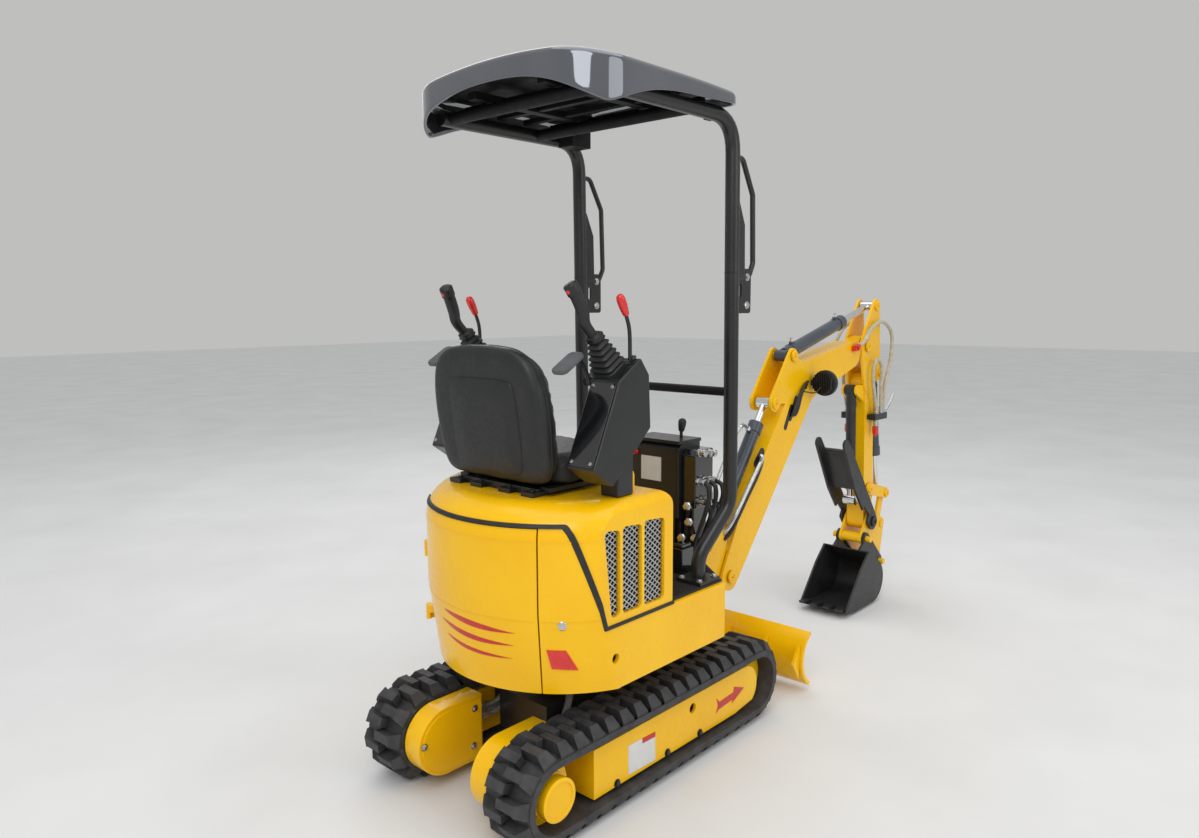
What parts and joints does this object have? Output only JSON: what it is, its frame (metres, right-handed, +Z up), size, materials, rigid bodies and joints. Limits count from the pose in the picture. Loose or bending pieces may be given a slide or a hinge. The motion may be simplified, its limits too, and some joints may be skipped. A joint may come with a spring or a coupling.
{
  "type": "mini excavator",
  "caption": "Compact tracked mini excavator with canopy, swing boom, arm, thumb, quick-hitch bucket and dozer blade, all hinged and driven by hydraulic cylinders.",
  "frame": {"origin": "on the ground below the middle of the whole length and width", "axes": "+X forward to the boom, +Y to the operator's left, +Z up"},
  "size_m": [2.9289, 0.8, 2.2],
  "materials": {
    "yellow_paint": "gloss yellow enamel",
    "hub_yellow": "yellow enamel hubs and black rollers",
    "black_paint": "satin black powder coat",
    "track_rubber": "matt black rubber",
    "black_rubber": "matt black rubber",
    "steel": "machined steel",
    "braided_hose": "steel-braided hose",
    "cast_iron": "bare casting",
    "seat_vinyl": "black vinyl",
    "black_plastic": "moulded black plastic",
    "lever_plastic": "red and black knobs",
    "canopy_gloss": "glossy black",
    "black_steel": "black steel",
    "hose_rubber": "grey-beige hose",
    "bucket_black": "satin black",
    "cylinder_paint": "blue-grey paint",
    "chrome_rod": "hard chrome"
  },
  "bodies": {
    "undercarriage": {"centre_frame": "black_paint", "track_frame_right": "yellow_paint", "track_frame_left": "yellow_paint", "track_right": "track_rubber", "track_left": "track_rubber", "running_gear": "hub_yellow", "motor_guards": "yellow_paint", "slew_ring": "steel", "travel_hoses": "braided_hose"},
    "blade": {"blade": "yellow_paint"},
    "blade_barrel": {"blade_cylinder_barrel": "cylinder_paint"},
    "blade_rod": {"blade_cylinder_rod": "chrome_rod"},
    "house": {"deck": "yellow_paint", "floor_mat": "black_rubber", "side_panels": "yellow_paint", "tail_cowl": "yellow_paint", "hood": "yellow_paint", "grilles": "yellow_paint", "trim": "black_rubber", "engine_block": "cast_iron", "seat_base": "black_paint", "seat_cushion": "seat_vinyl", "seat_back": "seat_vinyl", "consoles": "black_paint", "joysticks": "black_plastic", "levers": "lever_plastic", "armrests": "black_plastic", "front_console": "black_paint", "canopy_posts": "black_paint", "canopy_frame": "black_paint", "grab_handles": "black_paint", "canopy": "canopy_gloss"},
    "rear_door": {"rear_door": "yellow_paint"},
    "swing_bracket": {"swing_bracket": "yellow_paint"},
    "boom": {"boom": "yellow_paint", "work_lamp": "black_plastic", "boom_pipes": "steel"},
    "boom_barrel": {"boom_cylinder_barrel": "cylinder_paint"},
    "boom_rod": {"boom_cylinder_rod": "chrome_rod"},
    "arm": {"arm": "yellow_paint", "aux_couplers": "black_steel", "aux_hoses": "hose_rubber"},
    "arm_barrel": {"arm_cylinder_barrel": "cylinder_paint"},
    "arm_rod": {"arm_cylinder_rod": "chrome_rod"},
    "bucket_barrel": {"bucket_cylinder_barrel": "cylinder_paint"},
    "bucket_rod": {"bucket_cylinder_rod": "chrome_rod"},
    "rocker": {"rocker": "yellow_paint"},
    "bucket_link": {"bucket_link": "yellow_paint"},
    "bucket": {"hitch": "yellow_paint", "bucket": "bucket_black"},
    "thumb": {"thumb": "bucket_black"},
    "thumb_barrel": {"thumb_cylinder_barrel": "cylinder_paint"},
    "thumb_rod": {"thumb_cylinder_rod": "chrome_rod"}
  },
  "joints": [
    {"name": "slew", "type": "hinge", "parent": "undercarriage", "child": "house", "pos_m": [-0.8035, 0, 0.392], "axis": [0, 0, 1], "continuous": true},
    {"name": "boom_swing", "type": "hinge", "parent": "house", "child": "swing_bracket", "pos_m": [-0.2035, 0, 0.48], "axis": [0, 0, 1], "range_deg": [-50, 60]},
    {"name": "boom", "type": "hinge", "parent": "swing_bracket", "child": "boom", "pos_m": [-0.0035, 0, 0.41], "axis": [0, 1, 0], "range_deg": [-8, 60]},
    {"name": "boom_cylinder_pivot", "type": "hinge", "parent": "swing_bracket", "child": "boom_barrel", "pos_m": [-0.0415, 0, 0.604], "axis": [0, -1, 0], "range_deg": [-65.3, 8.71]},
    {"name": "boom_rod_slide", "type": "slide", "parent": "boom_barrel", "child": "boom_rod", "axis": [0.5952, 0, 0.8036], "range_m": [-0.02542, 0.19061]},
    {"name": "arm", "type": "hinge", "parent": "boom", "child": "arm", "pos_m": [1.1815, 0, 1.3], "axis": [0, -1, 0], "range_deg": [-27, 65]},
    {"name": "arm_cylinder_pivot", "type": "hinge", "parent": "boom", "child": "arm_barrel", "pos_m": [0.4585, 0, 1.283], "axis": [0, -1, 0], "range_deg": [-2.27, 5.46]},
    {"name": "arm_rod_slide", "type": "slide", "parent": "arm_barrel", "child": "arm_rod", "axis": [0.9676, 0, 0.2523], "range_m": [-0.22034, 0.09153]},
    {"name": "bucket", "type": "hinge", "parent": "arm", "child": "bucket", "pos_m": [1.2545, 0, 0.408], "axis": [0, -1, 0], "range_deg": [-60, 70]},
    {"name": "rocker_pivot", "type": "hinge", "parent": "arm", "child": "rocker", "pos_m": [1.2465, 0, 0.575], "axis": [0, -1, 0], "range_deg": [-37.65, 43.93]},
    {"name": "link_pivot", "type": "hinge", "parent": "rocker", "child": "bucket_link", "pos_m": [1.4365, 0, 0.525], "axis": [0, -1, 0], "range_deg": [-47.59, 40.79]},
    {"name": "bucket_cylinder_pivot", "type": "hinge", "parent": "arm", "child": "bucket_barrel", "pos_m": [1.3365, 0, 1.16], "axis": [0, -1, 0], "range_deg": [-3.4, 3.97]},
    {"name": "bucket_rod_slide", "type": "slide", "parent": "bucket_barrel", "child": "bucket_rod", "axis": [0.1556, 0, -0.9878], "range_m": [-0.13659, 0.11708]},
    {"name": "thumb", "type": "hinge", "parent": "arm", "child": "thumb", "pos_m": [1.2545, 0, 0.408], "axis": [0, -1, 0], "range_deg": [0, 70]},
    {"name": "thumb_cylinder_pivot", "type": "hinge", "parent": "arm", "child": "thumb_barrel", "pos_m": [1.1205, 0, 1.085], "axis": [0, -1, 0], "range_deg": [-6.68, 0]},
    {"name": "thumb_rod_slide", "type": "slide", "parent": "thumb_barrel", "child": "thumb_rod", "axis": [0.0502, 0, -0.9987], "range_m": [0, 0.17271]},
    {"name": "blade", "type": "hinge", "parent": "undercarriage", "child": "blade", "pos_m": [-0.4585, 0, 0.205], "axis": [0, 1, 0], "range_deg": [-12, 14]},
    {"name": "blade_cylinder_pivot", "type": "hinge", "parent": "undercarriage", "child": "blade_barrel", "pos_m": [-0.4085, 0, 0.262], "axis": [0, -1, 0], "range_deg": [-15.93, 13.65]},
    {"name": "blade_rod_slide", "type": "slide", "parent": "blade_barrel", "child": "blade_rod", "axis": [0.9952, 0, -0.0979], "range_m": [-0.01308, 0.01526]},
    {"name": "rear_door", "type": "hinge", "parent": "house", "child": "rear_door", "pos_m": [-1.20716, 0.33871, 0.65], "axis": [0, 0, -1], "range_deg": [0, 80]}
  ],
  "couplings": [
    {"joint": "boom_cylinder_pivot", "follows": "boom", "ratio": -1.0878},
    {"joint": "boom_rod_slide", "follows": "boom", "m_per_rad": 0.18193},
    {"joint": "arm_cylinder_pivot", "follows": "arm", "ratio": 0.084027},
    {"joint": "arm_rod_slide", "follows": "arm", "m_per_rad": -0.19413},
    {"joint": "rocker_pivot", "follows": "bucket", "ratio": 0.6272},
    {"joint": "link_pivot", "follows": "bucket", "ratio": -0.6795},
    {"joint": "bucket_cylinder_pivot", "follows": "bucket", "ratio": 0.05668},
    {"joint": "bucket_rod_slide", "follows": "bucket", "m_per_rad": -0.11174},
    {"joint": "thumb_cylinder_pivot", "follows": "thumb", "ratio": -0.095329},
    {"joint": "thumb_rod_slide", "follows": "thumb", "m_per_rad": 0.1413},
    {"joint": "blade_cylinder_pivot", "follows": "blade", "ratio": -1.1372},
    {"joint": "blade_rod_slide", "follows": "blade", "m_per_rad": 0.062413}
  ]
}
